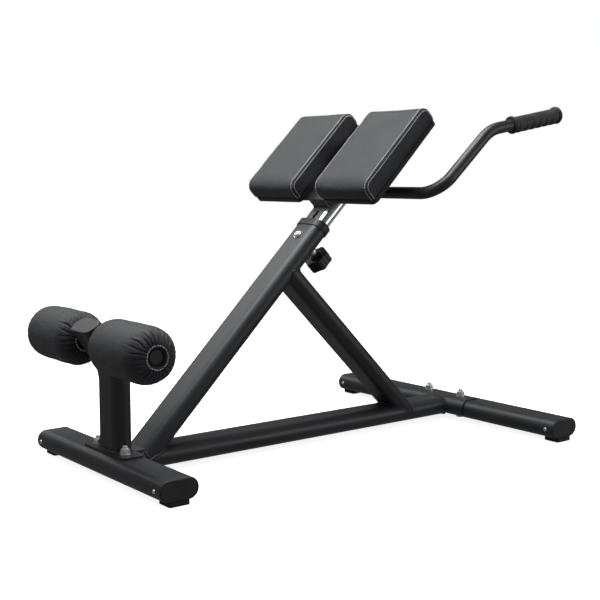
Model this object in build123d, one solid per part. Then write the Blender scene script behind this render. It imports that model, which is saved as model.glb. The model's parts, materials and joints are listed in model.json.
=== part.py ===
from build123d import *
from math import acos, cos, pi, radians, sin, tan
import os

# A 45-degree back-extension bench (roman chair), in millimetres, +Z up.
# Drawn with X = 0 on the front foot's centre, Y = 0 on the symmetry plane and Z = 0 on the floor,
# +X from the ankle rollers towards the hand grips; left is +Y. Every piece is moved at the end so
# that the origin is the middle of the bench's outline on the floor.

# ---- Driving dimensions -------------------------------------------------------------------

# Flat-oval frame tube
tube_width = 80.0
tube_depth = 40.0
tube_wall = 2.0

# Feet
foot_spacing = 900.0
front_foot_length = 490.0
rear_foot_length = 710.0
rubber_foot_height = 9.0
rubber_foot_length = 42.0
rubber_foot_width = 38.0
rubber_peg_radius = 4.0

# End caps
cap_lip = 4.0
cap_insert = 25.0
cap_wall = 3.0
cap_edge_radius = 2.5
cap_screw_inset = 19.5
cap_screw_radius = 2.0
cap_screw_length = 14.0

# Main beam and strut, measured along the beam from the point where its axis meets the rail's
beam_angle = 45.0
beam_length = 614.0
beam_foot_gap = 10.0
strut_below_mouth = 126.0
strut_foot_gap = 150.0

# Foot post: vertical, then leaning back under the rollers
post_x = 9.0
post_corner_height = 209.5
post_lean = 34.6
post_bend_radius = 98.0
post_upper_length = 104.0
axle_setback = 43.0

# Base plate at the front foot
plate_thickness = 4.0
plate_bolt_edge = 27.0
plate_tongue_reach = 10.0
plate_corner_radius = 12.0

# Saddle at the rear foot
saddle_thickness = 3.0
saddle_bolt_edge = 40.0
saddle_lip = 8.0
saddle_drop = 35.0

# Foot bolts
bolt_radius = 5.0
bolt_head_height = 6.0
bolt_tip = 4.0
nut_flats = 17.0
nut_height = 8.0
nut_collar_radius = 7.0
nut_collar_height = 2.5
washer_radius = 10.0
washer_thickness = 2.0
front_bolt_gap = 13.0
rear_bolt_gap = 12.0
rear_bolt_ahead = 5.0

# Rollers
roller_radius = 52.5
roller_length = 176.0
roller_edge_radius = 30.0
roller_side_gap = 4.0
roller_dimple_radius = 17.0
roller_dimple_depth = 8.0
axle_radius = 12.5
axle_wall = 2.0
liner_wall = 2.0
liner_side_gap = 1.0
plug_radius = 13.5
plug_lip = 3.0
plug_insert = 14.0

# Sliding pad carriage
slider_wall = 2.0
slider_insert = 197.0
slider_end_inset = 21.0
slot_width = 9.0
slot_reach = 31.0
slot_spare = 1.0
hole_pitch = 30.0
pitches_out = 3
pitches_in = 1
pin_hole_radius = 5.25
glide_length = 10.0
slider_plug_insert = 15.0
slider_cap_lip = 3.0

# Collar in the beam's mouth, stop bolt and locking pin
collar_bush = 2.7
collar_margin = 2.0
collar_cover = 14.0
collar_lip = 3.0
collar_sleeve = 25.0
stop_inset = 45.0
stop_bolt_radius = 4.0
stop_bolt_reach = 5.0
stop_head_radius = 7.0
stop_head_height = 4.5
stop_washer_radius = 9.0
stop_washer_thickness = 1.6
pin_radius = 6.0
pin_tip_radius = 5.0
pin_travel = 8.0
pin_standoff = 0.4
pin_nut_radius = 11.0
pin_nut_height = 14.0
pin_grip = 19.0
knob_lobes = 6
knob_core_radius = 25.0
knob_lobe_radius = 10.0
knob_lobe_rise = 3.0
knob_thickness = 26.0
knob_hub_radius = 12.0
knob_hub_height = 4.0
knob_edge_radius = 3.0
knob_dish_radius = 12.0
knob_dish_depth = 3.0

# Pads, measured along the beam from its mouth and above its centre plane
pad_reach = 29.0
pad_length = 240.0
pad_width = 168.0
pad_gap = 70.0
pad_underside = 38.0
board_thickness = 9.0
board_inset = 2.0
board_corner_radius = 12.0
cushion_thickness = 41.0
cushion_end_radius = 21.0
cushion_edge_radius = 5.0

# Brackets under the pads
lower_bracket_inset = 32.0
upper_bracket_inset = 80.0
bracket_width = 40.0
strap_length = 300.0
strap_thickness = 4.0
riser_length = 50.0
riser_wall = 3.0
pad_screw_ys = (75.0, 130.0)
pad_screw_radius = 3.0
pad_screw_head_radius = 6.0
pad_screw_head_height = 3.5
pad_screw_bite = 7.0

# Handlebar
bar_radius = 12.5
bar_wall = 2.0
bar_reach = 127.5
arm_y = 258.0
arm_angle = 41.0
arm_length = 198.0
grip_angle = 10.0
grip_run = 211.0
bar_bend_radius = 50.0
grip_bend_radius = 90.0
cradle_length = 60.0
cradle_width = 20.0

# Hand grips
grip_length = 150.0
grip_radius = 15.6
grip_flange_radius = 19.0
grip_flange_thickness = 5.0
grip_end_wall = 4.0
grip_flange_rounding = 2.2
grip_pommel_length = 8.0
grip_pommel_rounding = 3.6
grip_ridges = 6
grip_ridge_radius = 16.8
grip_ridge_drop = 1.6
grip_ridge_length = 17.0
grip_ridge_rounding = 5.0
grip_ridge_margin = 4.0

# Clearances
sliding_gap = 0.3
running_gap = 0.05
knob_end_gap = 0.3

# ---- Derived places -----------------------------------------------------------------------

tube_centre_z = rubber_foot_height + tube_depth / 2
tube_top_z = rubber_foot_height + tube_depth
plate_top_z = tube_top_z + plate_thickness
inner_width = tube_width - 2 * tube_wall
inner_depth = tube_depth - 2 * tube_wall

front_bolt_y = tube_width / 2 + front_bolt_gap
rear_bolt_y = tube_width / 2 + rear_bolt_gap
plate_width = 2 * (front_bolt_y + plate_bolt_edge)
plate_tongue_end = tube_width / 2 + plate_tongue_reach
saddle_width = 2 * (rear_bolt_y + saddle_bolt_edge)
beam_foot_x = plate_tongue_end + beam_foot_gap

stop_station = beam_length - stop_inset
pad_start = beam_length + pad_reach
pad_end = pad_start + pad_length
bracket_stations = (pad_start + lower_bracket_inset, pad_end - upper_bracket_inset)
bar_station = beam_length + bar_reach
slider_width = inner_width - 2 * (collar_bush + sliding_gap)
slider_depth = inner_depth - 2 * (collar_bush + sliding_gap)
slider_start = beam_length - slider_insert
slider_end = pad_end - slider_end_inset
slot_end = beam_length + slot_reach

x_axis = Vector(1, 0, 0)
y_axis = Vector(0, 1, 0)
z_axis = Vector(0, 0, 1)
beam_dir = Vector(cos(radians(beam_angle)), 0, sin(radians(beam_angle)))
beam_up = Vector(-sin(radians(beam_angle)), 0, cos(radians(beam_angle)))
beam_foot = Vector(beam_foot_x, 0, tube_centre_z)
post_dir = Vector(-sin(radians(post_lean)), 0, cos(radians(post_lean)))
post_corner = Vector(post_x, 0, post_corner_height)
post_end = post_corner + post_dir * post_upper_length
axle_centre = post_end - post_dir * axle_setback


def station(along, above=0.0, across=0.0):
    """The point at a distance along the main beam, above its centre plane and across it."""
    return beam_foot + beam_dir * along + beam_up * above + y_axis * across


# ---- Shared shapes ------------------------------------------------------------------------


def oval_bar(start, heading, length, width, depth, wide_axis):
    section = Plane(origin=start, x_dir=wide_axis, z_dir=heading) * SlotOverall(width, depth)
    return extrude(section, amount=length)


def oval_tube(start, heading, length, width, depth, wall, wide_axis):
    outside = oval_bar(start, heading, length, width, depth, wide_axis)
    return outside - oval_bar(start, heading, length, width - 2 * wall, depth - 2 * wall, wide_axis)


def rod(start, heading, length, radius):
    return extrude(Plane(origin=start, z_dir=heading) * Circle(radius), amount=length)


def ring(start, heading, length, radius, bore_radius):
    return rod(start, heading, length, radius) - rod(start, heading, length, bore_radius)


def block_on_beam(along, above, across, length, width, height):
    """A block standing on a height above the beam's centre plane, centred on its station."""
    base = Plane(origin=station(along, above, across), x_dir=beam_dir, z_dir=beam_up)
    return extrude(base * Rectangle(length, width), amount=height)


def rounded_path(points, radii):
    """Straight runs through the points, with a tangent arc at each corner."""
    edges = []
    cursor = points[0]
    for before, corner, after, radius in zip(points, points[1:], points[2:], radii):
        back = (before - corner).normalized()
        ahead = (after - corner).normalized()
        half = acos(back.dot(ahead)) / 2
        arc_start = corner + back * (radius / tan(half))
        arc_end = corner + ahead * (radius / tan(half))
        middle = corner + (back + ahead).normalized() * (radius / sin(half) - radius)
        edges.append(Line(cursor, arc_start))
        edges.append(ThreePointArc(arc_start, middle, arc_end))
        cursor = arc_end
    edges.append(Line(cursor, points[-1]))
    return Wire(edges)


def round_far_rim(shape, heading, radius):
    rim = shape.faces().sort_by(Axis((0, 0, 0), heading))[-1]
    return fillet(rim.edges(), radius)


def oval_end_cap(mouth, outward, wide_axis):
    """A cupped plug in the end of the frame tube, with a lip as wide as the tube."""
    lip = oval_bar(mouth, outward, cap_lip, tube_width, tube_depth, wide_axis)
    lip = round_far_rim(lip, outward, cap_edge_radius)
    inward = outward * -1
    cup = oval_tube(mouth, inward, cap_insert, inner_width, inner_depth, cap_wall, wide_axis)
    return lip + cup


def hex_prism(start, heading, height):
    section = RegularPolygon(nut_flats / 2, 6, major_radius=False)
    return extrude(Plane(origin=start, x_dir=x_axis, z_dir=heading) * section, amount=height)


def group(solids):
    return Compound(children=[solid for shape in solids for solid in shape.solids()])


# ---- Feet ---------------------------------------------------------------------------------

feet = {
    "front": (0.0, front_foot_length, [(0.0, front_bolt_y)]),
    "rear": (foot_spacing, rear_foot_length, [(-rear_bolt_ahead, rear_bolt_y)]),
}


def foot_bolt_places(name):
    foot_x, _, pattern = feet[name]
    return [Vector(foot_x + ahead, side * y, 0) for ahead, y in pattern for side in (-1, 1)]


def foot_ends(name):
    """The tube's mouth at each end of a foot, with the direction out of it."""
    foot_x, length, _ = feet[name]
    reach = length / 2 - cap_lip
    return [(Vector(foot_x, side * reach, tube_centre_z), y_axis * side) for side in (-1, 1)]


def peg_rods(name):
    rods = []
    for mouth, outward in foot_ends(name):
        centre = mouth + outward * (cap_lip - rubber_foot_width / 2)
        start = Vector(centre.X, centre.Y, rubber_foot_height)
        rods.append(rod(start, z_axis, tube_wall + cap_wall, rubber_peg_radius))
    return rods


def cap_screw_rods(name):
    rods = []
    for mouth, outward in foot_ends(name):
        start = mouth + outward * (cap_lip - cap_screw_inset) - x_axis * tube_width / 2
        rods.append(rod(start, x_axis, cap_screw_length, cap_screw_radius))
    return rods


def foot_body(name):
    foot_x, length, _ = feet[name]
    start = Vector(foot_x, -length / 2, tube_centre_z)
    return oval_bar(start, y_axis, length, tube_width, tube_depth, x_axis)


def foot_tube(name):
    start, _ = foot_ends(name)[0]
    length = feet[name][1] - 2 * cap_lip
    tube = oval_tube(start, y_axis, length, tube_width, tube_depth, tube_wall, x_axis)
    for place in foot_bolt_places(name):
        tube -= rod(place, z_axis, plate_top_z, bolt_radius)
    for cutter in peg_rods(name) + cap_screw_rods(name):
        tube -= cutter
    return tube


def end_caps(name):
    caps = []
    for mouth, outward in foot_ends(name):
        cap = oval_end_cap(mouth, outward, x_axis)
        for cutter in peg_rods(name) + cap_screw_rods(name):
            cap -= cutter
        caps.append(cap)
    return group(caps)


def rubber_feet():
    blocks = []
    for name in feet:
        for (mouth, outward), peg in zip(foot_ends(name), peg_rods(name)):
            centre = mouth + outward * (cap_lip - rubber_foot_width / 2)
            floor = Plane(origin=Vector(centre.X, centre.Y, 0))
            block = extrude(floor * Rectangle(rubber_foot_length, rubber_foot_width), amount=rubber_foot_height)
            block = fillet(block.edges().filter_by(Axis.Z), 4)
            block = chamfer(block.faces().sort_by(Axis.Z)[0].edges(), 1)
            blocks.append(block + peg)
    return group(blocks)


def cap_screws():
    screws = []
    for name in feet:
        for shank, (mouth, outward) in zip(cap_screw_rods(name), foot_ends(name)):
            seat = mouth + outward * (cap_lip - cap_screw_inset) - x_axis * tube_width / 2
            head = rod(seat, x_axis * -1, 2.4, 2 * cap_screw_radius)
            head = round_far_rim(head, x_axis * -1, 1.8)
            head -= Plane(origin=seat - x_axis * 1.4, z_dir=x_axis) * Box(1.0, 4.5, 3.0)
            screws.append(head + shank)
    return group(screws)


def foot_bolts(name, seat_z):
    bolts = []
    for place in foot_bolt_places(name):
        under = place + z_axis * rubber_foot_height
        head = hex_prism(under, z_axis * -1, bolt_head_height)
        length = seat_z + washer_thickness + nut_height + nut_collar_height + bolt_tip - rubber_foot_height
        shank = round_far_rim(rod(under, z_axis, length, bolt_radius), z_axis, 1)
        bolts.append(head + shank)
    return group(bolts)


def foot_washers(name, seat_z):
    seats = [place + z_axis * seat_z for place in foot_bolt_places(name)]
    return group([ring(seat, z_axis, washer_thickness, washer_radius, bolt_radius) for seat in seats])


def foot_nuts(name, seat_z):
    nuts = []
    for place in foot_bolt_places(name):
        seat = place + z_axis * (seat_z + washer_thickness)
        collar = rod(seat + z_axis * nut_height, z_axis, nut_collar_height, nut_collar_radius)
        nut = hex_prism(seat, z_axis, nut_height) + round_far_rim(collar, z_axis, 1.2)
        nuts.append(nut - rod(seat, z_axis, nut_height + nut_collar_height, bolt_radius))
    return group(nuts)


# ---- Welded frame -------------------------------------------------------------------------


def rail_body():
    start = Vector(0, 0, tube_centre_z)
    return oval_bar(start, x_axis, foot_spacing, tube_width, tube_depth, y_axis)


def beam_body():
    return oval_bar(beam_foot, beam_dir, beam_length, tube_width, tube_depth, y_axis)


def saddle_hull():
    start = Vector(foot_spacing, -saddle_width / 2, tube_centre_z)
    grow = 2 * saddle_thickness
    return oval_bar(start, y_axis, saddle_width, tube_width + grow, tube_depth + grow, x_axis)


def bottom_rail():
    start = Vector((tube_width - tube_depth) / 2, 0, tube_centre_z)
    length = foot_spacing - 2 * start.X
    rail = oval_tube(start, x_axis, length, tube_width, tube_depth, tube_wall, y_axis)
    return rail - foot_body("front") - saddle_hull()


def base_plate():
    foot_flat = (tube_width - tube_depth) / 2
    wide = Pos(foot_flat * 0.2, 0) * RectangleRounded(foot_flat * 2.4, plate_width, plate_corner_radius)
    tongue = Pos((plate_tongue_end - foot_flat) / 2, 0) * Rectangle(plate_tongue_end + foot_flat, tube_width)
    plate = extrude(Plane(origin=z_axis * tube_top_z) * (wide + tongue), amount=plate_thickness)
    for place in foot_bolt_places("front"):
        plate -= rod(place, z_axis, plate_top_z, bolt_radius)
    return plate


def main_beam():
    tube = oval_tube(beam_foot, beam_dir, beam_length, tube_width, tube_depth, tube_wall, y_axis)
    tube -= rail_body()
    tube -= rod(station(stop_station), beam_up, tube_depth, stop_bolt_radius)
    tube -= rod(station(stop_station), beam_up * -1, tube_depth, pin_radius + sliding_gap)
    return tube


def rear_strut():
    top = station(beam_length - strut_below_mouth)
    run = Vector(foot_spacing - strut_foot_gap, 0, tube_centre_z) - top
    strut = oval_tube(top, run.normalized(), run.length, tube_width, tube_depth, tube_wall, y_axis)
    return strut - beam_body() - rail_body()


def rear_saddle():
    start = Vector(foot_spacing - tube_width, -saddle_width / 2, tube_top_z + saddle_thickness - saddle_drop)
    length = tube_width + saddle_lip
    keep = Pos(start.X + length / 2, 0, start.Z + saddle_drop / 2) * Box(length, saddle_width, saddle_drop)
    saddle = (saddle_hull() - foot_body("rear")) & keep
    for place in foot_bolt_places("rear"):
        saddle -= rod(place, z_axis, plate_top_z, bolt_radius)
    return saddle


def swept_post(width, depth):
    base = Vector(post_x, 0, plate_top_z)
    path = rounded_path([base, post_corner, post_end - post_dir * cap_lip], [post_bend_radius])
    section = Plane(origin=base, x_dir=y_axis, z_dir=z_axis) * SlotOverall(width, depth)
    return sweep(section, path=path)


def foot_post():
    post = swept_post(tube_width, tube_depth) - swept_post(inner_width, inner_depth)
    return post - rod(axle_centre - y_axis * tube_width, y_axis, 2 * tube_width, axle_radius)


def post_end_cap():
    cap = oval_end_cap(post_end - post_dir * cap_lip, post_dir, y_axis)
    return cap - rod(axle_centre - y_axis * tube_width, y_axis, 2 * tube_width, axle_radius)


# ---- Rollers ------------------------------------------------------------------------------

roller_inner_y = tube_width / 2 + roller_side_gap
roller_outer_y = roller_inner_y + roller_length
axle_half_length = roller_outer_y - roller_dimple_depth
liner_inner_y = tube_width / 2 + liner_side_gap
liner_outer_y = axle_half_length - running_gap - sliding_gap
liner_bore = axle_radius + running_gap
liner_radius = liner_bore + liner_wall


def roller_axle():
    start = axle_centre - y_axis * axle_half_length
    return ring(start, y_axis, 2 * axle_half_length, axle_radius, axle_radius - axle_wall)


def axle_plugs():
    plugs = []
    for side in (-1, 1):
        mouth = axle_centre + y_axis * side * axle_half_length
        lip = round_far_rim(rod(mouth, y_axis * side, plug_lip, plug_radius), y_axis * side, 1.5)
        plugs.append(lip + rod(mouth, y_axis * -side, plug_insert, axle_radius - axle_wall))
    return group(plugs)


def roller_liner(side):
    start = axle_centre + y_axis * side * liner_inner_y
    return ring(start, y_axis * side, liner_outer_y - liner_inner_y, liner_radius, liner_bore)


def roller_foam(side):
    heading = y_axis * side
    start = axle_centre + heading * roller_inner_y
    foam = rod(start, heading, roller_length, roller_radius)
    rims = foam.edges().filter_by(GeomType.CIRCLE)
    foam = fillet(rims, roller_edge_radius)
    foam -= rod(start, heading, roller_length, liner_radius)
    outer_dimple = start + heading * (roller_length - roller_dimple_depth)
    foam -= rod(outer_dimple, heading, roller_dimple_depth, roller_dimple_radius)
    return foam


# ---- Collar, stop bolt and locking pin ----------------------------------------------------

slider_top = slider_depth / 2
beam_top = tube_depth / 2
pin_tip = -slider_top - pin_standoff
pin_shoulder = pin_tip - pin_travel
nut_end = -beam_top - pin_nut_height
knob_face = nut_end - pin_travel - knob_end_gap
pin_bottom = knob_face - pin_grip


def beam_collar():
    passage = (slider_width + 2 * sliding_gap, slider_depth + 2 * sliding_gap)
    rim_size = (tube_width + 2 * collar_margin, tube_depth + 2 * collar_margin)
    cap_start = station(beam_length - collar_cover)
    cap = oval_bar(cap_start, beam_dir, collar_cover + collar_lip, *rim_size, y_axis)
    cap = round_far_rim(cap, beam_dir, 1.5) - beam_body()
    sleeve_start = station(beam_length - collar_sleeve)
    sleeve = oval_bar(sleeve_start, beam_dir, collar_sleeve, inner_width, inner_depth, y_axis)
    through = oval_bar(sleeve_start, beam_dir, collar_sleeve + collar_lip, *passage, y_axis)
    return cap + sleeve - through


def stop_washer():
    seat = station(stop_station, beam_top)
    return ring(seat, beam_up, stop_washer_thickness, stop_washer_radius, stop_bolt_radius)


def stop_bolt():
    seat = station(stop_station, beam_top + stop_washer_thickness)
    head = rod(seat, beam_up, stop_head_height, stop_head_radius)
    head = round_far_rim(head, beam_up, stop_head_height * 0.75)
    socket = RegularPolygon(2.5, 6, major_radius=False)
    top = station(stop_station, beam_top + stop_washer_thickness + stop_head_height)
    head -= extrude(Plane(origin=top, z_dir=beam_up * -1) * socket, amount=2.5)
    shank_length = stop_washer_thickness + beam_top - slider_top + stop_bolt_reach
    return head + rod(seat, beam_up * -1, shank_length, stop_bolt_radius)


def pin_nut():
    seat = station(stop_station, -beam_top)
    return ring(seat, beam_up * -1, pin_nut_height, pin_nut_radius, pin_radius + running_gap)


def locking_pin():
    shoulder = station(stop_station, pin_shoulder)
    shank = rod(shoulder, beam_up * -1, pin_shoulder - pin_bottom, pin_radius)
    tip = round_far_rim(rod(shoulder, beam_up, pin_travel, pin_tip_radius), beam_up, 1)
    return shank + tip


def pin_knob():
    head_top = station(stop_station, knob_face - knob_hub_height)
    base = Plane(origin=head_top, x_dir=beam_dir, z_dir=beam_up * -1)
    outline = Circle(knob_core_radius)
    for place in PolarLocations(knob_core_radius + knob_lobe_rise - knob_lobe_radius, knob_lobes):
        outline += place * Circle(knob_lobe_radius)
    head = extrude(base * outline, amount=knob_thickness)
    head = round_far_rim(head, beam_up * -1, knob_edge_radius)
    head = round_far_rim(head, beam_up, knob_edge_radius)
    hub = rod(station(stop_station, knob_face), beam_up * -1, knob_hub_height, knob_hub_radius)
    dish_floor = station(stop_station, knob_face - knob_hub_height - knob_thickness + knob_dish_depth)
    knob = head + hub - rod(dish_floor, beam_up * -1, knob_dish_depth, knob_dish_radius)
    return knob - rod(station(stop_station, knob_face), beam_up * -1, pin_grip + running_gap, pin_radius + running_gap)


# ---- Pad carriage -------------------------------------------------------------------------

slot_start = stop_station - pitches_out * hole_pitch - slot_width / 2 - slot_spare
pad_centre = (pad_start + pad_end) / 2
pad_y = (pad_gap + pad_width) / 2
strap_underside = pad_underside - strap_thickness


def slider_tube():
    length = slider_end - slider_start
    tube = oval_tube(station(slider_start), beam_dir, length, slider_width, slider_depth, slider_wall, y_axis)
    slot_centre = station((slot_start + slot_end) / 2, slider_top - slider_wall)
    slot = Plane(origin=slot_centre, x_dir=beam_dir, z_dir=beam_up) * SlotOverall(slot_end - slot_start, slot_width)
    tube -= extrude(slot, amount=slider_wall)
    for step in range(-pitches_out, pitches_in + 1):
        hole = station(stop_station + step * hole_pitch)
        tube -= rod(hole, beam_up * -1, slider_depth, pin_hole_radius)
    return tube


def slider_glide():
    inside = (slider_width - 2 * slider_wall, slider_depth - 2 * slider_wall)
    outside = (inner_width - 2 * sliding_gap, inner_depth - 2 * sliding_gap)
    start = station(slider_start)
    block = oval_bar(start, beam_dir * -1, glide_length, *outside, y_axis)
    return block + oval_tube(start, beam_dir, slider_plug_insert, *inside, cap_wall, y_axis)


def slider_end_cap():
    inside = (slider_width - 2 * slider_wall, slider_depth - 2 * slider_wall)
    start = station(slider_end)
    lip = oval_bar(start, beam_dir, slider_cap_lip, slider_width, slider_depth, y_axis)
    lip = round_far_rim(lip, beam_dir, 1.5)
    return lip + oval_tube(start, beam_dir * -1, slider_plug_insert, *inside, cap_wall, y_axis)


def pad_screw_places(along):
    return [station(along, strap_underside, side * y) for y in pad_screw_ys for side in (-1, 1)]


def pad_bracket(along):
    strap = block_on_beam(along, strap_underside, 0, bracket_width, strap_length, strap_thickness)
    strap = fillet(strap.edges().filter_by(Axis((0, 0, 0), beam_up)), 8)
    height = strap_underside - slider_top
    riser = block_on_beam(along, slider_top, 0, bracket_width, riser_length, height)
    hollow_width = bracket_width - 2 * riser_wall
    hollow_height = height - 2 * riser_wall
    riser -= block_on_beam(along, slider_top + riser_wall, 0, hollow_width, riser_length, hollow_height)
    bracket = strap + riser
    for place in pad_screw_places(along):
        bracket -= rod(place, beam_up, strap_thickness, pad_screw_radius)
    return bracket


def pad_screws():
    screws = []
    for along in bracket_stations:
        for place in pad_screw_places(along):
            head = rod(place, beam_up * -1, pad_screw_head_height, pad_screw_head_radius)
            head = round_far_rim(head, beam_up * -1, 2)
            screws.append(head + rod(place, beam_up, strap_thickness + pad_screw_bite, pad_screw_radius))
    return group(screws)


def pad_board(side):
    length = pad_length - 2 * board_inset
    width = pad_width - 2 * board_inset
    board = block_on_beam(pad_centre, pad_underside, side * pad_y, length, width, board_thickness)
    board = fillet(board.edges().filter_by(Axis((0, 0, 0), beam_up)), board_corner_radius)
    for along in bracket_stations:
        for place in pad_screw_places(along):
            board -= rod(place, beam_up, strap_thickness + pad_screw_bite, pad_screw_radius)
    return board


def pad_cushion(side):
    above = pad_underside + board_thickness
    cushion = block_on_beam(pad_centre, above, side * pad_y, pad_length, pad_width, cushion_thickness)
    cushion = fillet(cushion.edges().filter_by(Axis((0, 0, 0), beam_up)), cushion_edge_radius)
    top = cushion.faces().sort_by(Axis((0, 0, 0), beam_up))[-1]
    ends = top.edges().filter_by(Axis.Y)
    cushion = fillet(ends, cushion_end_radius)
    return cushion


# ---- Handlebar ----------------------------------------------------------------------------

bar_above = -slider_top - bar_radius
arm_dir = Vector(cos(radians(arm_angle)), 0, sin(radians(arm_angle)))
grip_dir = Vector(cos(radians(grip_angle)), 0, sin(radians(grip_angle)))
grip_up = Vector(-sin(radians(grip_angle)), 0, cos(radians(grip_angle)))


def bar_corners(side):
    """The bar's corner, the arm's upper corner and the tube's end on one side."""
    corner = station(bar_station, bar_above, side * arm_y)
    elbow = corner + arm_dir * arm_length
    return [corner, elbow, elbow + grip_dir * grip_run]


def swept_bar(radius):
    points = bar_corners(1)[::-1] + bar_corners(-1)
    path = rounded_path(points, [grip_bend_radius, bar_bend_radius, bar_bend_radius, grip_bend_radius])
    section = Plane(origin=points[0], z_dir=grip_dir * -1) * Circle(radius)
    return sweep(section, path=path)


def handlebar():
    return swept_bar(bar_radius) - swept_bar(bar_radius - bar_wall)


def bar_cradle():
    block = block_on_beam(bar_station, bar_above, 0, cradle_width, cradle_length, bar_radius)
    bar = rod(station(bar_station, bar_above, -arm_y), y_axis, 2 * arm_y, bar_radius)
    return block - bar


def grip_at_origin():
    """One grip along +X, its open end at the origin and its finger ridges underneath."""
    grip = rod(Vector(), x_axis, grip_length, grip_radius)
    flange = rod(Vector(), x_axis, grip_flange_thickness, grip_flange_radius)
    grip += fillet(flange.edges().filter_by(GeomType.CIRCLE), grip_flange_rounding)
    pommel_start = x_axis * (grip_length - grip_pommel_length)
    pommel = rod(pommel_start, x_axis, grip_pommel_length, grip_flange_radius)
    grip += fillet(pommel.edges().filter_by(GeomType.CIRCLE), grip_pommel_rounding)
    first = grip_flange_thickness + grip_ridge_margin
    last = grip_length - grip_pommel_length - grip_ridge_margin
    pitch = (last - first) / grip_ridges
    for step in range(grip_ridges):
        start = Vector(first + (step + 0.5) * pitch - grip_ridge_length / 2, 0, -grip_ridge_drop)
        ridge = rod(start, x_axis, grip_ridge_length, grip_ridge_radius)
        grip += fillet(ridge.edges().filter_by(GeomType.CIRCLE), grip_ridge_rounding)
    return grip - rod(Vector(), x_axis, grip_length - grip_end_wall, bar_radius)


def hand_grip(side):
    start = bar_corners(side)[2] - grip_dir * (grip_length - grip_end_wall)
    return Plane(origin=start, x_dir=grip_dir, z_dir=grip_up) * grip_at_origin()


# ---- All pieces ---------------------------------------------------------------------------

parts = {
    "front_foot_tube": foot_tube("front"),
    "rear_foot_tube": foot_tube("rear"),
    "front_end_caps": end_caps("front"),
    "rear_end_caps": end_caps("rear"),
    "rubber_feet": rubber_feet(),
    "cap_screws": cap_screws(),
    "base_plate": base_plate(),
    "front_bolts": foot_bolts("front", plate_top_z),
    "front_washers": foot_washers("front", plate_top_z),
    "front_nuts": foot_nuts("front", plate_top_z),
    "bottom_rail": bottom_rail(),
    "rear_saddle": rear_saddle(),
    "rear_bolts": foot_bolts("rear", tube_top_z + saddle_thickness),
    "rear_washers": foot_washers("rear", tube_top_z + saddle_thickness),
    "rear_nuts": foot_nuts("rear", tube_top_z + saddle_thickness),
    "main_beam": main_beam(),
    "rear_strut": rear_strut(),
    "foot_post": foot_post(),
    "post_end_cap": post_end_cap(),
    "roller_axle": roller_axle(),
    "axle_plugs": axle_plugs(),
    "beam_collar": beam_collar(),
    "stop_bolt": stop_bolt(),
    "stop_washer": stop_washer(),
    "pin_nut": pin_nut(),
    "locking_pin": locking_pin(),
    "pin_knob": pin_knob(),
    "slider_tube": slider_tube(),
    "slider_glide": slider_glide(),
    "slider_end_cap": slider_end_cap(),
    "lower_pad_bracket": pad_bracket(bracket_stations[0]),
    "upper_pad_bracket": pad_bracket(bracket_stations[1]),
    "pad_screws": pad_screws(),
    "handlebar": handlebar(),
    "bar_cradle": bar_cradle(),
}

for side_name, side in (("right", -1), ("left", 1)):
    parts[f"{side_name}_roller_liner"] = roller_liner(side)
    parts[f"{side_name}_roller_foam"] = roller_foam(side)
    parts[f"{side_name}_pad_board"] = pad_board(side)
    parts[f"{side_name}_pad_cushion"] = pad_cushion(side)
    parts[f"{side_name}_hand_grip"] = hand_grip(side)

boxes = [shape.bounding_box() for shape in parts.values()]
middle_x = (min(box.min.X for box in boxes) + max(box.max.X for box in boxes)) / 2
to_origin = Pos(-middle_x, 0, 0)

os.makedirs("parts", exist_ok=True)
for name, shape in parts.items():
    export_step(to_origin * shape, f"parts/{name}.step")
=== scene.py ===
import json
import random
from math import atan2, cos, hypot, pi, radians, sin, sqrt

import bmesh
import bpy
import numpy as np
from mathutils import Matrix, Vector, noise
from mathutils.bvhtree import BVHTree


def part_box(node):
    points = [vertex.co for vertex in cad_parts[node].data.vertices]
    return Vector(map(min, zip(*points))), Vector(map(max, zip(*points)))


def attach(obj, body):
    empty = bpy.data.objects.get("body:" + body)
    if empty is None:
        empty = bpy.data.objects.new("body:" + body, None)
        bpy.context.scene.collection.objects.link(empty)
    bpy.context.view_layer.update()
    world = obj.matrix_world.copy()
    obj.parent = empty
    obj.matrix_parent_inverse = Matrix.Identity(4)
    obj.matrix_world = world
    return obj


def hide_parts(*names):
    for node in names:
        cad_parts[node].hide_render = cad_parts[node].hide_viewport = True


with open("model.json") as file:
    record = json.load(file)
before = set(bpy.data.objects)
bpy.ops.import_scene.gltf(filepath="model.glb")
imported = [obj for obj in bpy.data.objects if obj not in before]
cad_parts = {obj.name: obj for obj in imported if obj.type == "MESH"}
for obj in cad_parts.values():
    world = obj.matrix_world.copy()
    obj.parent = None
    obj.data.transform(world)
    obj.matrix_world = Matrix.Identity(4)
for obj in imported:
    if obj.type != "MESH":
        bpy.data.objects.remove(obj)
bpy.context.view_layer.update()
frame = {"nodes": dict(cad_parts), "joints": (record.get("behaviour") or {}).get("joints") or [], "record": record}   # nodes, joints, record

random.seed(7)

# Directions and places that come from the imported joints
joints = {joint["name"]: joint for joint in frame["joints"]}
beamDir = Vector(joints["pad_slide"]["axis"])
beamUp = Vector(joints["pin_advance"]["axis"])
acrossDir = Vector((0, 1, 0))
axleCentre = Vector(joints["left_roller_spin"]["pos_m"])
frontFootX = sum(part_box("front_foot_tube"), Vector()).x / 2  # places along the frame count from here
bothSides = (("right", -1), ("left", 1))
print("frame loaded:", len(frame["nodes"]), "nodes")


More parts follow.
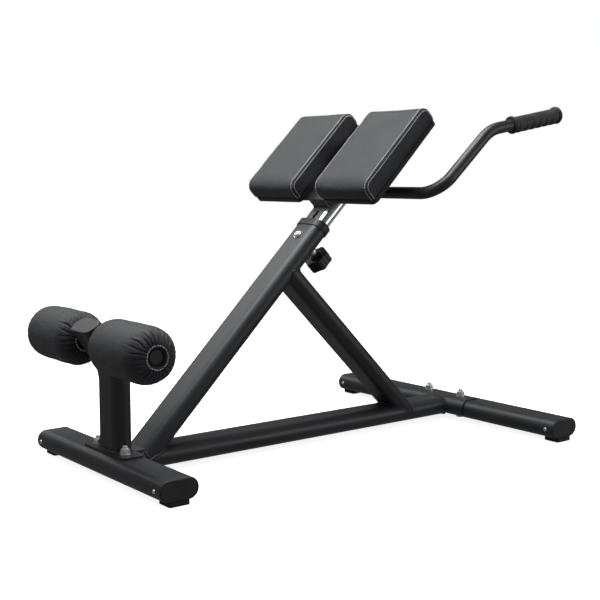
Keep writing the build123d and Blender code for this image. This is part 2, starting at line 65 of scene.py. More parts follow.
# Shader sums written as Python
class Wire:  # wraps one shader socket, so that sums on it add Math nodes
    def __init__(self, tree, socket=None):
        self.tree = tree
        self.socket = socket

    def add(self, kind, settings, sockets, output=0):  # any node: settings first, then values or links
        node = self.tree.nodes.new("ShaderNode" + kind)
        for name, value in settings.items():
            setattr(node, name, value)
        for name, value in sockets.items():
            if isinstance(value, Wire):
                self.tree.links.new(value.socket, node.inputs[name])
            else:
                node.inputs[name].default_value = value
        return Wire(self.tree, node.outputs[output])

    def sum(self, operation, first, second):
        return self.add("Math", {"operation": operation}, {0: first, 1: second})

    def __add__(self, other):
        return self.sum("ADD", self, other)

    def __radd__(self, other):
        return self.sum("ADD", other, self)

    def __sub__(self, other):
        return self.sum("SUBTRACT", self, other)

    def __rsub__(self, other):
        return self.sum("SUBTRACT", other, self)

    def __mul__(self, other):
        return self.sum("MULTIPLY", self, other)

    def __rmul__(self, other):
        return self.sum("MULTIPLY", other, self)

    def within(self, low, high):  # 0 below low, 1 above high
        ends = {"From Min": low, "From Max": high}
        return self.add("MapRange", {"clamp": True}, {"Value": self, **ends})

    def noise(self, scale, detail=2.0):
        return self.add("TexNoise", {}, {"Vector": self, "Scale": scale, "Detail": detail})

    def cells(self, scale, feature="F1"):
        return self.add("TexVoronoi", {"feature": feature}, {"Vector": self, "Scale": scale})

    def colours(self, first, second):  # first where this wire is 0, second where it is 1
        ends = {0: self, 6: (*first, 1.0), 7: (*second, 1.0)}
        return self.add("Mix", {"data_type": "RGBA"}, ends, output=2)

    def bump(self, strength, distance):
        return self.add("Bump", {}, {"Height": self, "Strength": strength, "Distance": distance})


def newFinish(name, fixed, pattern):
    material = bpy.data.materials.new(name)
    material.use_nodes = True
    shader = material.node_tree.nodes["Principled BSDF"]
    for socket, value in fixed.items():
        shader.inputs[socket].default_value = value
    place = Wire(material.node_tree).add("TexCoord", {}, {}, output="Object")
    for socket, wire in pattern(place).items():
        material.node_tree.links.new(wire.socket, shader.inputs[socket])
    return material


# Finishes, one per material slot
paint = {"dark": (0.0165, 0.0175, 0.0202), "light": (0.0245, 0.0262, 0.0305),
         "rough": 0.36, "roughSpread": 0.1, "peelScale": 620.0, "peel": 0.06, "peelDepth": 0.0004}


def powderCoat(place):
    cloudy = place.noise(9.0, 3.0).within(0.35, 0.65)
    speck = place.noise(1500.0, 1.0)
    peel = place.noise(paint["peelScale"], 2.0) + speck * 0.3
    return {"Base Color": cloudy.colours(paint["dark"], paint["light"]),
            "Roughness": paint["rough"] + (cloudy * 0.5 + speck * 0.5) * paint["roughSpread"],
            "Normal": peel.bump(paint["peel"], paint["peelDepth"])}


leather = {"dark": (0.0085, 0.009, 0.0112), "light": (0.034, 0.0364, 0.0445),
           "rough": 0.43, "roughSpread": 0.22, "grainScale": 480.0, "bump": 0.85, "depth": 0.0009}


def leatherGrain(place):
    broad = place.noise(14.0, 3.0).within(0.3, 0.7)
    warped = place.noise(260.0, 2.0)
    pores = place.cells(leather["grainScale"], "DISTANCE_TO_EDGE").within(0.0, 0.22)
    grain = pores * 0.6 + warped * 0.9
    shade = (grain * 0.65 + broad * 0.3).within(0.35, 0.9)
    return {"Base Color": shade.colours(leather["dark"], leather["light"]),
            "Roughness": leather["rough"] + (1.0 - pores) * leather["roughSpread"] + broad * 0.05,
            "Normal": grain.bump(leather["bump"], leather["depth"])}


def threadTwist(place):
    strands = place.noise(2600.0, 1.0).within(0.35, 0.65)
    return {"Base Color": strands.colours((0.8, 0.8, 0.77), (0.95, 0.95, 0.92)),
            "Normal": strands.bump(0.5, 0.0002)}


def polishedPlate(place):
    smear = place.noise(28.0, 4.0).within(0.4, 0.7)
    return {"Base Color": smear.colours((0.83, 0.84, 0.86), (0.74, 0.75, 0.77)),
            "Roughness": 0.1 + smear * 0.1}


def zincPlate(place):
    spangle = place.cells(420.0)
    cloud = place.noise(90.0, 3.0).within(0.35, 0.65)
    return {"Base Color": cloud.colours((0.7, 0.71, 0.71), (0.86, 0.86, 0.84)),
            "Roughness": 0.2 + spangle * 0.3 + cloud * 0.1,
            "Normal": place.noise(1800.0, 2.0).bump(0.12, 0.0002)}


def drawnSteel(place):
    drawn = place.add("Mapping", {}, {"Vector": place, "Scale": (1.0, 0.03, 1.0)}).noise(1400.0, 3.0)
    return {"Base Color": drawn.colours((0.2, 0.2, 0.205), (0.36, 0.36, 0.37)),
            "Roughness": 0.26 + drawn * 0.2,
            "Normal": drawn.bump(0.12, 0.0002)}


def mouldedGrain(place):
    spark = place.noise(1700.0, 2.0)
    cloud = place.noise(40.0, 2.0).within(0.35, 0.65)
    return {"Base Color": cloud.colours((0.014, 0.0142, 0.0142), (0.022, 0.0222, 0.0225)),
            "Roughness": 0.4 + spark * 0.16,
            "Normal": spark.bump(0.25, 0.0003)}


def soleRubberGrain(place):
    dust = place.noise(300.0, 4.0).within(0.4, 0.7)
    return {"Base Color": dust.colours((0.009, 0.009, 0.009), (0.022, 0.021, 0.02)),
            "Roughness": 0.72 + dust * 0.15,
            "Normal": place.noise(2200.0, 2.0).bump(0.3, 0.0003)}


def gripVinyl(place):
    skin = place.noise(900.0, 2.0)
    worn = place.noise(34.0, 3.0).within(0.4, 0.65)
    return {"Base Color": worn.colours((0.026, 0.0262, 0.0268), (0.042, 0.0422, 0.043)),
            "Roughness": 0.5 + worn * 0.1 + skin * 0.08,
            "Normal": skin.bump(0.25, 0.0004)}


def dustCover(place):
    fibres = place.add("Mapping", {}, {"Vector": place, "Scale": (1.0, 0.25, 1.0)}).noise(900.0, 3.0)
    dots = place.cells(420.0).within(0.25, 0.5)
    return {"Base Color": (fibres * 0.6 + dots * 0.4).colours((0.006, 0.006, 0.0065), (0.02, 0.02, 0.021)),
            "Roughness": 0.68 + fibres * 0.2,
            "Normal": (dots + fibres * 0.5).bump(0.45, 0.0003)}


finishes = {
    "frame_paint": newFinish("satinPowderCoat", {}, powderCoat),
    "axle_paint": newFinish("drawnAxleSteel", {"Metallic": 0.9}, drawnSteel),
    "zinc": newFinish("brightZinc", {"Metallic": 1.0}, zincPlate),
    "chrome": newFinish("chromedSlider", {"Metallic": 0.8}, polishedPlate),
    "cap_plastic": newFinish("grainedCapPlastic", {}, mouldedGrain),
    "foot_rubber": newFinish("soleRubber", {}, soleRubberGrain),
    "grip_rubber": newFinish("softGripVinyl", {}, gripVinyl),
    "board_paint": newFinish("blackDustCover", {"Sheen Weight": 0.15}, dustCover),
    "upholstery": newFinish("charcoalLeatherette", {"Sheen Weight": 0.05}, leatherGrain),
}
threadFinish = newFinish("paleThread", {"Roughness": 0.75, "Sheen Weight": 0.2}, threadTwist)

for subpart in frame["record"]["subparts"]:  # every carried-over node takes its slot's finish
    mesh = frame["nodes"][subpart["node"]].data
    mesh.materials.clear()
    mesh.materials.append(finishes[subpart["material_slot"]])
print("finishes made:", len(finishes) + 1)


# Shared ways of making pieces
def keepPiece(name, mesh, body, finish):
    piece = bpy.data.objects.new(name, mesh)
    bpy.context.scene.collection.objects.link(piece)
    mesh.materials.clear()
    mesh.materials.append(finish)
    mesh.shade_smooth()
    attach(piece, body)
    return piece


def meshOf(bm, name, outward=True):
    if outward:
        bmesh.ops.recalc_face_normals(bm, faces=bm.faces)
    mesh = bpy.data.meshes.new(name)
    bm.to_mesh(mesh)
    bm.free()
    return mesh


def finalMesh(piece):  # the mesh with its modifiers applied
    piece = piece.evaluated_get(bpy.context.evaluated_depsgraph_get())
    return bpy.data.meshes.new_from_object(piece)


def readPoints(mesh, kind="co"):
    values = np.zeros(len(mesh.vertices) * 3)
    source = mesh.vertices if kind == "co" else mesh.vertex_normals
    source.foreach_get("co" if kind == "co" else "vector", values)
    return values.reshape(-1, 3)


def writePoints(mesh, points):
    mesh.vertices.foreach_set("co", points.ravel())
    mesh.update()


def alongTo(point, ahead, up):  # a place with X ahead and Z up
    ahead = ahead.normalized()
    side = up.cross(ahead).normalized()
    turn = Matrix((ahead, side, ahead.cross(side))).transposed().to_4x4()
    return Matrix.Translation(point) @ turn


def addCapsule(bm, place, length, width, thickness):
    size = Matrix.Diagonal((length / 2, width / 2, thickness / 2, 1))
    lying = Matrix.Rotation(pi / 2, 4, "Y")
    bmesh.ops.create_uvsphere(bm, u_segments=6, v_segments=6, radius=1, matrix=place @ size @ lying)


def sewnRow(bm, surface, spots, thread):
    # one stitch between each two spots, lying on the surface; a spot is (point outside, way in)
    found = []
    for start, way in spots:
        hit, normal, _, _ = surface.ray_cast(start, way)
        if hit is not None:
            found.append((hit, normal))
    for (first, normal), (second, _) in zip(found[0::2], found[1::2]):
        middle = (first + second) / 2 + normal * thread["lift"]
        length = (second - first).length + thread["overlap"]
        addCapsule(bm, alongTo(middle, second - first, normal), length, thread["width"], thread["thickness"])


def surfaceOf(mesh):
    return BVHTree.FromPolygons([v.co for v in mesh.vertices], [p.vertices for p in mesh.polygons])


def placeOnBeam(origin):  # X along the beam, Y across, Z away from it
    turn = Matrix((beamDir, acrossDir, beamUp)).transposed().to_4x4()
    return Matrix.Translation(origin) @ turn


# Pads
pad = {"length": 0.2375, "width": 0.166, "height": 0.0415, "endRadius": 0.021, "edgeRadius": 0.004,
       "aboveBoard": 0.0045, "shoulderFade": 0.02, "freeAbove": 0.006, "firstStitch": 0.002,
       "castFrom": 0.03, "voxel": 0.005, "pressure": 4.0, "frames": 20, "mostMove": 0.0065,
       "heldBelow": 0.003, "heldSeam": 0.0035, "seamDepth": 0.0011, "seamWidth": 0.0011,
       "rowInset": 0.0058, "rowDepth": 0.0005, "rowWidth": 0.0013, "pucker": 0.00035, "wrinkle": 0.0007,
       "wrinkleSize": 0.05, "fill": 0.85}
padThread = {"pitch": 0.0062, "stitch": 0.0051, "width": 0.0015, "thickness": 0.0013,
             "lift": 0.0003, "overlap": 0.0}


def padProfile(along, above):
    # how far along the end-top-end strip a point is, counted from the nearer end, and how deep under it
    halfFlat = pad["length"] / 2 - pad["endRadius"]
    riser = pad["height"] - pad["endRadius"]
    out = np.abs(along) - halfFlat
    up = above - riser
    corner = (out > 0) & (up > 0)
    turned = np.arctan2(np.maximum(up, 1e-9), np.maximum(out, 1e-9))
    fromTop = pad["height"] - above
    fromEnd = pad["length"] / 2 - np.abs(along)
    onTop = fromTop < fromEnd
    depth = np.where(corner, pad["endRadius"] - np.hypot(out, up), np.minimum(fromTop, fromEnd))
    run = np.where(corner, riser + pad["endRadius"] * turned,
                   np.where(onTop, riser + pad["endRadius"] * pi / 2 - out, above))
    return run, depth


def padSpot(run, inset):
    # the point of the strip at a run from one end's foot, moved inwards, and the way out of it
    radius = pad["endRadius"]
    riser = pad["height"] - radius
    arc = radius * pi / 2
    flat = pad["length"] - 2 * radius
    half = (2 * riser + 2 * arc + flat) / 2
    sign = -1 if run < half else 1
    run = min(run, 2 * half - run)
    if run < riser:
        spot, out = Vector((pad["length"] / 2, 0, run)), Vector((1, 0, 0))
    elif run < riser + arc:
        turned = (run - riser) / radius
        out = Vector((cos(turned), 0, sin(turned)))
        spot = Vector((flat / 2, 0, riser)) + out * radius
    else:
        spot, out = Vector((flat / 2 - (run - riser - arc), 0, pad["height"])), Vector((0, 0, 1))
    spot -= out * inset
    return Vector((spot.x * sign, 0, spot.z)), Vector((out.x * sign, 0, out.z))


def padBlank():
    bm = bmesh.new()
    size = Matrix.Diagonal((pad["length"], pad["width"], pad["height"], 1))
    bmesh.ops.create_cube(bm, size=1, matrix=Matrix.Translation((0, 0, pad["height"] / 2)) @ size)
    top = pad["height"] - 1e-5
    ends = [e for e in bm.edges if all(v.co.z > top for v in e.verts)
            and abs(e.verts[0].co.x - e.verts[1].co.x) < 1e-5]
    bmesh.ops.bevel(bm, geom=ends, offset=pad["endRadius"], offset_type="OFFSET", segments=8, profile=0.5,
                    affect="EDGES", material=-1)
    side = pad["width"] / 2 - 1e-5
    outline = [e for e in bm.edges if all(abs(v.co.y) > side for v in e.verts)
               and e.verts[0].co.y * e.verts[1].co.y > 0 and max(v.co.z for v in e.verts) > 1e-5]
    bmesh.ops.bevel(bm, geom=outline, offset=pad["edgeRadius"], offset_type="OFFSET", segments=3, profile=0.5,
                    affect="EDGES", material=-1)
    return meshOf(bm, "padBlank")


def swollen(mesh, heldWeights):
    # voxel skin, then cloth under pressure, with each point's move capped; the cloth is gone afterwards
    scene = bpy.context.scene
    blank = bpy.data.objects.new("blank", mesh)
    scene.collection.objects.link(blank)
    skin = blank.modifiers.new("skin", "REMESH")
    skin.mode = "VOXEL"
    skin.voxel_size = pad["voxel"]
    skinMesh = finalMesh(blank)
    blank.modifiers.clear()
    blank.data = skinMesh
    start = readPoints(skinMesh)
    held = blank.vertex_groups.new(name="held")
    for index, weight in enumerate(heldWeights(start)):
        held.add([index], float(weight), "REPLACE")
    cloth = blank.modifiers.new("cloth", "CLOTH")
    cloth.settings.quality = 6
    cloth.settings.use_pressure = True
    cloth.settings.uniform_pressure_force = pad["pressure"]
    cloth.settings.vertex_group_mass = "held"
    cloth.settings.effector_weights.gravity = 0
    cloth.point_cache.frame_start = 1
    cloth.point_cache.frame_end = pad["frames"]
    for step in range(1, pad["frames"] + 1):
        scene.frame_set(step)
    ended = finalMesh(blank)
    move = readPoints(ended) - start
    size = np.maximum(np.linalg.norm(move, axis=1, keepdims=True), 1e-9)
    writePoints(skinMesh, start + move / size * pad["mostMove"] * np.tanh(size / pad["mostMove"]))
    print("cloth moved points by up to", round(float(size.max()) * 1000, 1), "mm")
    scene.frame_set(1)
    blank.modifiers.clear()
    finer = blank.modifiers.new("finer", "SUBSURF")
    finer.levels = finer.render_levels = 2
    result = finalMesh(blank)
    bpy.data.objects.remove(blank)
    return result


def heldPad(points):
    # the foot rim is held, and so is the seam where the strip meets each side panel
    run, depth = padProfile(points[:, 0], points[:, 2])
    side = pad["width"] / 2 - np.abs(points[:, 1])
    seam = np.hypot(np.maximum(depth, 0), np.maximum(side, 0)) < pad["heldSeam"]
    return np.where((points[:, 2] < pad["heldBelow"]) | seam, 1.0, 0.0)


def sewPad(mesh, seed):
    # seam valley, the two dips under the stitch rows, puckers along them and slack wrinkles
    points, normals = readPoints(mesh), readPoints(mesh, "normal")
    run, depth = padProfile(points[:, 0], points[:, 2])
    side = pad["width"] / 2 - np.abs(points[:, 1])
    fromSeam = np.maximum(side, 0) - np.maximum(depth, 0)
    free = np.clip(points[:, 2] / pad["freeAbove"], 0, 1)
    dip = pad["seamDepth"] * np.exp(-(fromSeam / pad["seamWidth"]) ** 2)
    row = np.exp(-((np.abs(fromSeam) - pad["rowInset"]) / pad["rowWidth"]) ** 2)
    dip += row * (pad["rowDepth"] + pad["pucker"] * np.cos(run * 2 * pi / padThread["pitch"]))
    shift = Vector((seed * 3.1, seed * 1.7, 0))
    slack = np.array([noise.fractal(Vector(p) / pad["wrinkleSize"] + shift, 1.0, 2.0, 3) for p in points])
    near = np.exp(-(np.abs(fromSeam) / pad["shoulderFade"]) ** 2)
    dip -= slack * pad["wrinkle"] * (0.35 + near)
    writePoints(mesh, points - normals * (dip * free)[:, None])


def padStitches(mesh):
    # both rows on both long edges, from foot to foot round the end curves
    surface = surfaceOf(mesh)
    bm = bmesh.new()
    radius = pad["endRadius"]
    full = 2 * (pad["height"] - radius) + pi * radius + pad["length"] - 2 * radius
    first = pad["firstStitch"]
    count = int((full - 2 * first) / padThread["pitch"])
    for sign in (-1, 1):
        for kind in ("strip", "side"):
            spots = []
            for step in range(count):
                for end in (0, padThread["stitch"]):
                    run = first + step * padThread["pitch"] + end
                    if kind == "strip":
                        spot, out = padSpot(run, 0)
                        across = sign * (pad["width"] / 2 - pad["rowInset"])
                        spots.append((Vector((spot.x, across, spot.z)) + out * pad["castFrom"], -out))
                    else:
                        spot, out = padSpot(run, pad["rowInset"])
                        spots.append((Vector((spot.x, sign * pad["width"], spot.z)), Vector((0, -sign, 0))))
            sewnRow(bm, surface, spots, padThread)
    return meshOf(bm, "padStitches")


blankPad = swollen(padBlank(), heldPad)
for sideName, sign in bothSides:
    low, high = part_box(f"{sideName}_pad_board")
    place = placeOnBeam((low + high) / 2 + beamUp * pad["aboveBoard"])
    mesh = blankPad.copy()
    mesh.name = f"{sideName}PadCover"
    sewPad(mesh, 2 + sign)
    stitches = padStitches(mesh)
    stitches.transform(place)
    mesh.transform(place)
    cover = keepPiece(f"{sideName}_pad_cover", mesh, "pad_carriage", finishes["upholstery"])
    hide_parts(f"{sideName}_pad_cushion")
    keepPiece(f"{sideName}_pad_stitching", stitches, "pad_carriage", threadFinish)
print("pads sewn")


# Ankle rollers
roller = {"inner": 0.044, "length": 0.176, "radius": 0.0524, "faceRadius": 0.0205,
          "shoulders": (0.03, 0.038), "boreRadius": 0.0147, "mouthRadius": 0.0138, "dimpleRadius": 0.0172,
          "dimpleDepth": 0.0075, "rim": 0.002, "steps": 312, "shoulderSteps": 18, "bodySteps": 26,
          "belly": 0.0004, "folds": 26, "foldDepth": 0.004, "foldWidth": 0.12, "foldReach": (0.028, 0.05),
          "foldShare": (0.5, 1.0), "foldStart": 0.0213, "wander": 0.012, "slack": 0.0006,
          "slackSize": 0.03, "seamDepth": 0.001, "seamWidth": 0.0014, "fill": 0.9}
rollerThread = {"castFrom": 0.02, "radius": 0.0212, "stitches": 26, "share": 0.8, "wobble": 0.0007,
                "width": 0.0016, "thickness": 0.0014, "lift": 0.0003, "overlap": 0.0}
seamTurn = {"left": radians(215), "right": radians(-70)}


def rollerEnd(shoulder):
    # (radius, along) from the mouth of the bore out to the full radius
    face, body, dimple = roller["faceRadius"], roller["radius"], roller["dimpleRadius"]
    end = [(roller["mouthRadius"], roller["dimpleDepth"]), (dimple - 0.0003, roller["dimpleDepth"]),
           (dimple, roller["dimpleDepth"] * 0.6), (dimple + 0.0002, roller["rim"]),
           (dimple + 0.0009, roller["rim"] * 0.3), (face - 0.001, 0.0)]
    for step in range(roller["shoulderSteps"] + 1):
        turned = step / roller["shoulderSteps"] * pi / 2
        end.append((face + (body - face) * sin(turned), shoulder * (1 - cos(turned))))
    return end


def rollerProfile():
    # the cover's section, closed: inner end, body, outer end, bore
    length, (inner, outer) = roller["length"], roller["shoulders"]
    middle = []
    for step in range(1, roller["bodySteps"]):
        share = step / roller["bodySteps"]
        along = inner + (length - inner - outer) * share
        middle.append((roller["radius"] + roller["belly"] * sin(pi * share), along))
    outerEnd = [(radius, length - along) for radius, along in reversed(rollerEnd(outer))]
    bore = [(roller["boreRadius"], length - roller["dimpleDepth"] - 0.004 - step * 0.04) for step in range(4)]
    return rollerEnd(inner) + middle + outerEnd + bore


def foldDip(turned, along, radius, creases):
    # how deep the nearest gather crease is here, counted from the ring of stitches
    fromRing = hypot(along, radius - roller["foldStart"])
    wander = roller["wander"] * noise.noise(Vector((cos(turned) * 3, sin(turned) * 3, fromRing * 60)))
    share = (turned / (2 * pi) + wander) * roller["folds"]
    near = round(share)
    reach, depth = creases[near % roller["folds"]]
    if fromRing > reach:
        return 0.0
    rise = min(1.0, fromRing / 0.004)
    fade = 1 - (fromRing / reach) ** 1.6
    valley = np.exp(-((share - near) / roller["foldWidth"]) ** 2)
    return roller["foldDepth"] * depth * rise * fade * (valley - 0.25)


def rollerCover(sideName, sign):
    creaseSets = [[(random.uniform(*roller["foldReach"]), random.uniform(*roller["foldShare"]))
                   for _ in range(roller["folds"])] for _ in range(2)]
    bm = bmesh.new()
    corners = [bm.verts.new((radius, along, 0)) for radius, along in rollerProfile()]
    for first, second in zip(corners, corners[1:] + corners[:1]):
        bm.edges.new((first, second))
    bmesh.ops.spin(bm, geom=bm.verts[:] + bm.edges[:], cent=(0, 0, 0), axis=(0, 1, 0), angle=2 * pi,
                   steps=roller["steps"], use_merge=True)
    bmesh.ops.remove_doubles(bm, verts=bm.verts, dist=1e-6)
    bmesh.ops.recalc_face_normals(bm, faces=bm.faces)
    moves = []
    for v in bm.verts:
        radius, along, turned = hypot(v.co.x, v.co.z), v.co.y, atan2(v.co.z, v.co.x)
        if radius < roller["dimpleRadius"] + 0.002:
            continue
        dip = 0.0
        for creases, depth in zip(creaseSets, (along, roller["length"] - along)):
            if depth < roller["length"] / 2:
                dip += foldDip(turned, depth, radius, creases)
        slack = noise.fractal(v.co / roller["slackSize"] + Vector((sign * 5, 0, 0)), 1.0, 2.0, 3)
        fromSeam = abs((turned - seamTurn[sideName] + pi) % (2 * pi) - pi) * radius
        dip += roller["seamDepth"] * np.exp(-(fromSeam / roller["seamWidth"]) ** 2)
        share = min(1.0, (radius - roller["dimpleRadius"] - 0.002) / 0.004)
        moves.append((v, v.normal * (-(dip - slack * roller["slack"]) * share)))
    for v, move in moves:
        v.co += move
    bmesh.ops.transform(bm, verts=bm.verts, matrix=rollerPlace(sign))
    return meshOf(bm, f"{sideName}RollerCover")


def rollerPlace(sign):
    side = Matrix.Diagonal((1, sign, 1, 1))
    return Matrix.Translation(axleCentre) @ side @ Matrix.Translation((0, roller["inner"], 0))


def rollerStitches(mesh, sign):
    surface = surfaceOf(mesh)
    place = rollerPlace(sign)
    bm = bmesh.new()
    for along, outside in ((-rollerThread["castFrom"], 1), (roller["length"] + rollerThread["castFrom"], -1)):
        spots = []
        for step in range(rollerThread["stitches"]):
            for end in (0, rollerThread["share"]):
                turned = (step + end) / rollerThread["stitches"] * 2 * pi
                wobble = random.uniform(-1, 1) * rollerThread["wobble"] * (0.3 if end else 1)
                radius = rollerThread["radius"] + wobble
                spot = Vector((radius * cos(turned), along, radius * sin(turned)))
                spots.append((place @ spot, Vector((0, outside * sign, 0))))
        sewnRow(bm, surface, spots, rollerThread)
    return meshOf(bm, "rollerStitches")


for sideName, sign in bothSides:
    mesh = rollerCover(sideName, sign)
    stitches = rollerStitches(mesh, sign)
    cover = keepPiece(f"{sideName}_roller_cover", mesh, f"{sideName}_roller",
                      finishes["upholstery"])
    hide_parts(f"{sideName}_roller_foam")
    keepPiece(f"{sideName}_roller_stitching", stitches, f"{sideName}_roller", threadFinish)
print("rollers gathered")


# Weld beads
weld = {"radius": 0.0024, "pitch": 0.0034, "ripple": 0.16, "rough": 0.12, "roughScale": 90,
        "step": 0.00085, "headLift": 0.0008, "bracketHalf": 0.024, "bracketEdge": 0.02,
        "bracketAbove": 0.0152, "cradleHalf": 0.03, "cradleEdge": 0.0102, "cradleBelow": 0.0155,
        "tongueHalf": 0.027, "tongueAbove": 0.0495}
tube = {"width": 0.08, "depth": 0.04, "saddleDepth": 0.046, "floorGap": 0.029, "plateTop": 0.053}
joined = {"frontFoot": frontFootX, "beamFoot": frontFootX + 0.06, "strutFoot": frontFootX + 0.75,
          "strutTop": 0.488, "post": frontFootX + 0.009, "rearFoot": frontFootX + 0.9,
          "tongueEnd": frontFootX + 0.05}


def ovalOutline(width, depth, step):
    # points spaced evenly round a flat oval: (across, above)
    flat, radius = width - depth, depth / 2
    lengths = [flat, pi * radius, flat, pi * radius]
    count = int(sum(lengths) / step)
    points = []
    for index in range(count):
        run = index / count * sum(lengths)
        if run < lengths[0]:
            points.append((flat / 2 - run, radius))
        elif run < sum(lengths[:2]):
            turned = (run - lengths[0]) / radius
            points.append((-flat / 2 - radius * sin(turned), radius * cos(turned)))
        elif run < sum(lengths[:3]):
            points.append((-flat / 2 + run - sum(lengths[:2]), -radius))
        else:
            turned = (run - sum(lengths[:3])) / radius
            points.append((flat / 2 + radius * sin(turned), -radius * cos(turned)))
    return points


def crownOf(across):  # how high the frame tube's outline is above its centre plane
    out = max(0.0, abs(across) - (tube["width"] - tube["depth"]) / 2)
    return sqrt(max(0.0, (tube["depth"] / 2) ** 2 - out ** 2))


def beadMesh(name, paths):
    line = bpy.data.curves.new(name, "CURVE")
    line.dimensions = "3D"
    line.bevel_depth = weld["radius"]
    line.bevel_resolution = 1
    line.use_fill_caps = True
    for points, closed in paths:
        spline = line.splines.new("POLY")
        spline.points.add(len(points) - 1)
        spline.use_cyclic_u = closed
        run = 0.0
        for index, point in enumerate(points):
            if index:
                run += (point - points[index - 1]).length
            spline.points[index].co = (*point, 1)
            spline.points[index].radius = 1 + weld["ripple"] * sin(run * 2 * pi / weld["pitch"]) \
                + weld["rough"] * noise.noise(point * weld["roughScale"])
    holder = bpy.data.objects.new(name, line)
    bpy.context.scene.collection.objects.link(holder)
    mesh = finalMesh(holder)
    bpy.data.objects.remove(holder)
    return mesh


def straight(first, second):
    count = max(2, int((second - first).length / weld["step"]))
    return [first.lerp(second, index / count) for index in range(count + 1)]


outline = ovalOutline(tube["width"], tube["depth"], weld["step"])
foot = Vector((joined["beamFoot"], 0, tube["floorGap"]))
strutFoot = Vector((joined["strutFoot"], 0, tube["floorGap"]))
beamBead = [foot + acrossDir * a + beamUp * n + beamDir * (crownOf(a) / beamDir.z - n) for a, n in outline]
strutBead = [strutFoot + acrossDir * a + beamDir * n + beamUp * (crownOf(a) / beamUp.z - n) for a, n in outline]
head = foot + beamDir * joined["strutTop"] - beamUp * weld["headLift"]
headBead = [head + beamDir * n + acrossDir * a - beamUp * crownOf(a) for a, n in outline]
postBead = [Vector((joined["post"] + n, a, tube["plateTop"])) for a, n in outline]
halfFlat = (tube["width"] - tube["depth"]) / 2
frontBead = [Vector((joined["frontFoot"] + halfFlat + sqrt(max(0, (tube["depth"] / 2) ** 2 - n * n)), a,
                     tube["floorGap"] + n)) for a, n in outline]
rearBead = [Vector((joined["rearFoot"] - halfFlat - sqrt((tube["saddleDepth"] / 2) ** 2 - n * n), a,
                    tube["floorGap"] + n)) for a, n in outline]
tongueBead = straight(*[Vector((joined["tongueEnd"], side * weld["tongueHalf"], weld["tongueAbove"]))
                        for side in (-1, 1)])
frameBeads = [(beamBead, True), (strutBead, True), (headBead, True), (postBead, True), (frontBead, True),
              (rearBead, True), (tongueBead, False)]
keepPiece("frame_weld_beads", beadMesh("frameBeads", frameBeads), "frame",
          finishes["frame_paint"])

bracketBeads = []
for nodeName in ("lower_pad_bracket", "upper_pad_bracket"):
    low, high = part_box(nodeName)
    run = ((low + high) / 2 - foot).dot(beamDir)
    for edge in (-weld["bracketEdge"], weld["bracketEdge"]):
        ends = [foot + beamDir * (run + edge) + beamUp * weld["bracketAbove"] + acrossDir * across
                for across in (-weld["bracketHalf"], weld["bracketHalf"])]
        bracketBeads.append((straight(*ends), False))
low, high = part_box("bar_cradle")
run = ((low + high) / 2 - foot).dot(beamDir)
for edge in (-weld["cradleEdge"], weld["cradleEdge"]):
    ends = [foot + beamDir * (run + edge) - beamUp * weld["cradleBelow"] + acrossDir * across
            for across in (-weld["cradleHalf"], weld["cradleHalf"])]
    bracketBeads.append((straight(*ends), False))
keepPiece("carriage_weld_beads", beadMesh("carriageBeads", bracketBeads), "pad_carriage",
          finishes["frame_paint"])
print("weld beads laid")


# Bolt threads and staples
thread = {"pitch": 0.0015, "radius": 0.0049, "ridge": 0.00042, "turns": 2.6, "perTurn": 20}
boltTops = [(joined["frontFoot"], 0.053, 0.0655), (joined["rearFoot"] - 0.005, 0.052, 0.0645)]


def threadMesh():
    line = bpy.data.curves.new("threads", "CURVE")
    line.dimensions = "3D"
    line.bevel_depth = thread["ridge"]
    line.bevel_resolution = 0
    for x, y, z in boltTops:
        for sign in (-1, 1):
            spline = line.splines.new("POLY")
            count = int(thread["turns"] * thread["perTurn"])
            spline.points.add(count)
            for index in range(count + 1):
                turned = index / thread["perTurn"] * 2 * pi
                rise = index / thread["perTurn"] * thread["pitch"]
                around = Vector((cos(turned), sin(turned), 0)) * thread["radius"]
                spline.points[index].co = (*(Vector((x, sign * y, z + rise)) + around), 1)
    holder = bpy.data.objects.new("threads", line)
    bpy.context.scene.collection.objects.link(holder)
    mesh = finalMesh(holder)
    bpy.data.objects.remove(holder)
    return mesh


keepPiece("bolt_threads", threadMesh(), "frame", finishes["zinc"])

staple = {"crown": 0.010, "width": 0.0011, "thickness": 0.0007, "inset": 0.010, "pitch": 0.021,
          "boardHalf": (0.118, 0.0805), "below": 0.0047, "endGap": 0.03, "tilt": 0.15}
bm = bmesh.new()
for sideName, sign in bothSides:
    low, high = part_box(f"{sideName}_pad_board")
    back = (low + high) / 2 - beamUp * staple["below"]
    longHalf, shortHalf = staple["boardHalf"]
    for axis, other, reach, out in ((beamDir, acrossDir, longHalf, shortHalf),
                                    (acrossDir, beamDir, shortHalf, longHalf)):
        count = int((2 * reach - staple["endGap"]) / staple["pitch"])
        for step in range(count + 1):
            run = (step - count / 2) * staple["pitch"]
            for edge in (-1, 1):
                tilt = axis + other * random.uniform(-staple["tilt"], staple["tilt"])
                spot = back + axis * run + other * (edge * (out - staple["inset"]))
                place = alongTo(spot, tilt, beamUp)
                addCapsule(bm, place, staple["crown"], staple["width"], staple["thickness"])
keepPiece("board_staples", meshOf(bm, "boardStaples"), "pad_carriage", finishes["zinc"])
print("threads and staples added")


# Floor, light and camera
studio = {"floor": (0.93, 0.93, 0.935), "floorLight": (0.95, 0.95, 0.95), "floorSize": 12,
          "floorGlow": 0.86, "domeGlow": 1.0, "domeRadius": 14.0, "world": 0.17}


def stagePiece(name, mesh, finish):
    piece = bpy.data.objects.new(name, mesh)
    bpy.context.scene.collection.objects.link(piece)
    piece.data.materials.append(finish)
    piece.visible_diffuse = piece.visible_glossy = False  # seen, but throws no light back on the bench
    return piece


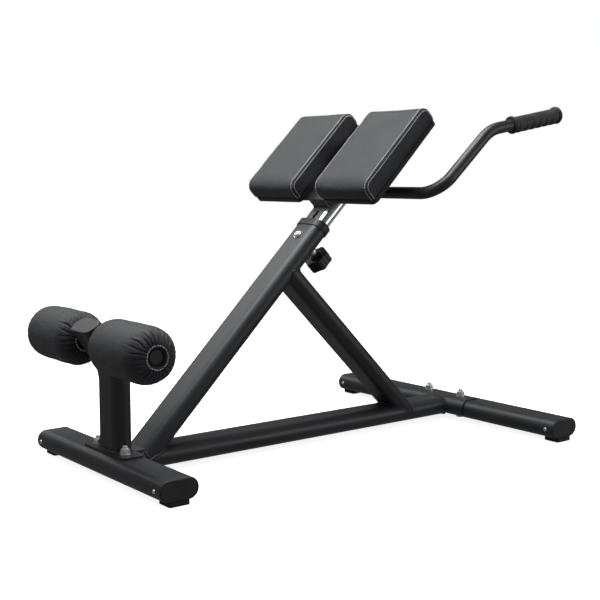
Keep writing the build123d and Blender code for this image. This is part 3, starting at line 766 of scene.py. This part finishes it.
bm = bmesh.new()
bmesh.ops.create_grid(bm, x_segments=1, y_segments=1, size=studio["floorSize"])
floorGlow = {"Roughness": 0.9, "Emission Color": (1, 1, 1, 1), "Emission Strength": studio["floorGlow"]}
floorFinish = newFinish("paleFloor", floorGlow, lambda place: {
    "Base Color": place.noise(2.0, 2.0).colours(studio["floor"], studio["floorLight"])})
stagePiece("studio_floor", meshOf(bm, "studioFloor", False), floorFinish)
bm = bmesh.new()
bmesh.ops.create_uvsphere(bm, u_segments=48, v_segments=24, radius=studio["domeRadius"])
bmesh.ops.reverse_faces(bm, faces=bm.faces)
domeGlow = {"Base Color": (0, 0, 0, 1), "Emission Color": (1, 1, 1, 1), "Emission Strength": studio["domeGlow"]}
domeFinish = newFinish("paleBackdrop", domeGlow, lambda place: {})
dome = stagePiece("backdrop_dome", meshOf(bm, "backdropDome", False), domeFinish)
dome.visible_shadow = dome.visible_transmission = False

scene = bpy.context.scene
scene.view_settings.view_transform = "Standard"
world = bpy.data.worlds.new("studio")
scene.world = world
world.use_nodes = True
world.node_tree.nodes["Background"].inputs["Color"].default_value = (1, 1, 1, 1)
world.node_tree.nodes["Background"].inputs["Strength"].default_value = studio["world"]


def softbox(name, place, target, size, power):
    light = bpy.data.lights.new(name, "AREA")
    light.shape = "RECTANGLE"
    light.size, light.size_y = size
    light.energy = power
    lamp = bpy.data.objects.new(name, light)
    lamp.location = place
    lamp.rotation_mode = "QUATERNION"
    lamp.rotation_quaternion = (Vector(target) - Vector(place)).to_track_quat("-Z", "Y")
    scene.collection.objects.link(lamp)


lamps = {  # place, what it faces, its two sides and its watts
    "overheadBox": ((-0.2, 0.3, 2.2), (0, 0, 0.3), (1.6, 1.6), 62),
    "backBox": ((-0.5, 2.4, 2.2), (0, 0, 0.4), (2.0, 1.4), 16),
    "leftBox": ((-2.4, 0.2, 2.1), (0, 0, 0.4), (1.0, 1.6), 6),
    "rightBox": ((1.9, -2.3, 0.9), (0.1, 0, 0.4), (1.6, 1.6), 14),
}
for name, settings in lamps.items():
    softbox(name, *settings)

view = {"place": (frontFootX - 0.97039, -1.82517, 0.56876), "heading": radians(52.02),
        "pitch": radians(-6.466), "lens": 65.67, "sensor": 36}
camera = bpy.data.objects.new("camera", bpy.data.cameras.new("camera"))
scene.collection.objects.link(camera)
camera.data.lens = view["lens"]
camera.data.sensor_width = view["sensor"]
camera.location = view["place"]
heading, pitch = view["heading"], view["pitch"]
aim = Vector((cos(heading) * cos(pitch), sin(heading) * cos(pitch), sin(pitch)))
camera.rotation_mode = "QUATERNION"
camera.rotation_quaternion = aim.to_track_quat("-Z", "Y")
scene.camera = camera

print("scene ready")
